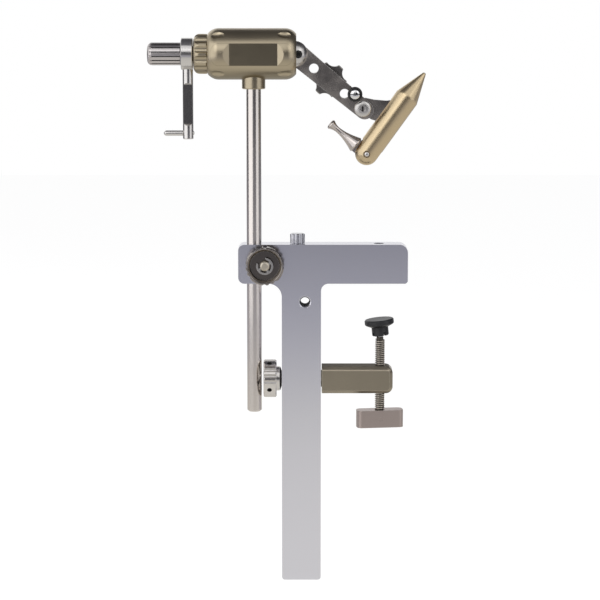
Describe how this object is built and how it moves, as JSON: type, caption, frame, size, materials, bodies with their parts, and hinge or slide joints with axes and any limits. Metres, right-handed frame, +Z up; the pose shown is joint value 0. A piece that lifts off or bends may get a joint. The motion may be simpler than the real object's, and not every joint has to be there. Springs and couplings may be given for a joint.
{
  "type": "fly tying vise",
  "caption": "Rotary fly tying vise on a C-shaped table clamp, with cam lever jaws on an offset arm, crank and height-adjustable stem.",
  "frame": {"origin": "on the underside of the frame's top beam, the face that rests on the table, on the axis of the clamp screw, at the middle of the plate's thickness", "axes": "+Z up along the stem, +X along the rotary axis from the crank towards the jaws, -Y is the front with the flat on the housing"},
  "size_m": [0.1781, 0.036, 0.3605],
  "materials": {
    "frame_aluminium": "satin clear anodised, fine blasted grain",
    "satin_steel": "satin ground stainless steel",
    "dark_steel": "black oxide, lightly worn on the edges",
    "polished_dark": "polished steel",
    "bronze_anodised": "satin bronze anodised, fine turned grain",
    "dark_bronze": "bronze anodised, brushed along its length",
    "gold_steel": "satin, warm gold coating",
    "lever_steel": "turned steel, bare",
    "pad_plastic": "moulded, fine matt texture",
    "rubber": "black, smooth",
    "chrome": "polished",
    "bush_bronze": "sintered bronze, bored"
  },
  "bodies": {
    "frame": {"clamp_frame": "frame_aluminium", "stem_clamp_washer": "dark_steel"},
    "thumb_screw": {"thumb_screw": "satin_steel"},
    "stem": {"stem": "satin_steel"},
    "cotter": {"stem_clamp_cotter": "bush_bronze", "retaining_clip": "polished_dark"},
    "stem_knob": {"stem_clamp_knob": "polished_dark"},
    "clamp_arm": {"clamp_arm": "dark_bronze", "arm_stud": "satin_steel", "arm_knob_washer": "dark_steel"},
    "arm_knob": {"clamp_arm_knob": "satin_steel"},
    "ball_stud": {"ball_stud": "chrome"},
    "clamp_screw": {"clamp_screw": "dark_bronze", "clamp_bar": "satin_steel", "clamp_bar_pin": "satin_steel"},
    "swivel_pad": {"swivel_pad": "pad_plastic"},
    "head": {"housing": "bronze_anodised", "stem_collar": "bronze_anodised", "collar_set_screw": "dark_steel", "front_bush": "bush_bronze", "rear_bush": "bush_bronze", "drag_ring": "pad_plastic"},
    "drag_knob": {"drag_knob": "bronze_anodised"},
    "spindle": {"spindle": "satin_steel", "thrust_washer": "rubber", "crank": "satin_steel", "crank_pin": "satin_steel", "crank_set_screw": "dark_steel", "arm_pivot_screw": "dark_steel"},
    "finger_knob": {"finger_knob": "satin_steel"},
    "offset_arm": {"offset_arm": "dark_steel", "keeper_button": "chrome", "keeper_ring": "rubber", "jaw_pivot_screw": "satin_steel"},
    "star_knob": {"star_knob": "dark_steel", "pinch_screw": "satin_steel"},
    "jaws": {"jaw_tang": "dark_steel", "jaw_front": "gold_steel", "jaw_dowels": "satin_steel", "jaw_spring": "satin_steel", "lever_pin": "satin_steel"},
    "rear_jaw": {"jaw_back": "gold_steel"},
    "adjusting_screw": {"jaw_adjusting_screw": "satin_steel"},
    "cam_lever": {"cam_lever": "lever_steel"}
  },
  "joints": [
    {"name": "stem_height", "type": "slide", "parent": "frame", "child": "stem", "axis": [0, 0, 1], "range_m": [-0.025, 0.075]},
    {"name": "head_swivel", "type": "hinge", "parent": "stem", "child": "head", "pos_m": [-0.0818, 0, 0.13], "axis": [0, 0, 1], "continuous": true},
    {"name": "spindle_turn", "type": "hinge", "parent": "head", "child": "spindle", "pos_m": [-0.0818, 0, 0.1473], "axis": [1, 0, 0], "continuous": true},
    {"name": "drag_knob_turn", "type": "hinge", "parent": "head", "child": "drag_knob", "pos_m": [-0.115, 0, 0.1473], "axis": [1, 0, 0], "range_deg": [-90, 90]},
    {"name": "finger_knob_turn", "type": "hinge", "parent": "spindle", "child": "finger_knob", "pos_m": [-0.139, 0, 0.1473], "axis": [1, 0, 0], "range_deg": [-180, 0]},
    {"name": "arm_pivot", "type": "hinge", "parent": "spindle", "child": "offset_arm", "pos_m": [-0.0531, 0, 0.1473], "axis": [0, -1, 0], "range_deg": [0, 79]},
    {"name": "star_knob_turn", "type": "hinge", "parent": "offset_arm", "child": "star_knob", "pos_m": [-0.03324, 0, 0.13052], "axis": [0, 1, 0], "range_deg": [0, 180]},
    {"name": "jaw_pivot", "type": "hinge", "parent": "offset_arm", "child": "jaws", "pos_m": [-0.01193, 0, 0.11251], "axis": [0, -1, 0], "range_deg": [-30, 45]},
    {"name": "cam_lever_turn", "type": "hinge", "parent": "jaws", "child": "cam_lever", "pos_m": [-0.00933, 0, 0.08363], "axis": [0, -1, 0], "range_deg": [0, 95]},
    {"name": "rear_jaw_rock", "type": "hinge", "parent": "jaws", "child": "rear_jaw", "pos_m": [0.00822, 0.00015, 0.10797], "axis": [-0.8111, 0, 0.585], "range_deg": [0, 1.5]},
    {"name": "adjusting_screw_turn", "type": "hinge", "parent": "jaws", "child": "adjusting_screw", "pos_m": [0.00822, 0, 0.10797], "axis": [0, 1, 0], "range_deg": [-180, 180]},
    {"name": "stem_knob_turn", "type": "hinge", "parent": "frame", "child": "stem_knob", "pos_m": [-0.0747, -0.014, 0.0127], "axis": [0, -1, 0], "range_deg": [0, 360]},
    {"name": "cotter_slide", "type": "slide", "parent": "frame", "child": "cotter", "axis": [0, 1, 0], "range_m": [0, 0.00128]},
    {"name": "thumb_screw_turn", "type": "hinge", "parent": "frame", "child": "thumb_screw", "pos_m": [-0.0537, 0, 0.028], "axis": [0, 0, 1], "range_deg": [0, 180]},
    {"name": "clamp_arm_slide", "type": "slide", "parent": "frame", "child": "clamp_arm", "axis": [0, 0, 1], "range_m": [-0.1, 0.01]},
    {"name": "clamp_arm_knob_turn", "type": "hinge", "parent": "clamp_arm", "child": "arm_knob", "pos_m": [-0.07, 0, -0.0634], "axis": [-1, 0, 0], "range_deg": [0, 180]},
    {"name": "clamp_advance", "type": "slide", "parent": "clamp_arm", "child": "ball_stud", "axis": [0, 0, 1], "range_m": [-0.018, 0.011]},
    {"name": "clamp_screw_turn", "type": "hinge", "parent": "ball_stud", "child": "clamp_screw", "pos_m": [0, 0, -0.06], "axis": [0, 0, 1], "range_deg": [-5108, 3124]},
    {"name": "pad_tilt", "type": "hinge", "parent": "ball_stud", "child": "swivel_pad", "pos_m": [0, 0, -0.031], "axis": [0, -1, 0], "range_deg": [-15, 3]}
  ],
  "couplings": [
    {"joint": "cotter_slide", "follows": "stem_knob_turn", "m_per_rad": 0.0002021},
    {"joint": "clamp_screw_turn", "follows": "clamp_advance", "rad_per_m": 4947.4},
    {"joint": "rear_jaw_rock", "follows": "cam_lever_turn", "ratio": 0.015789}
  ]
}
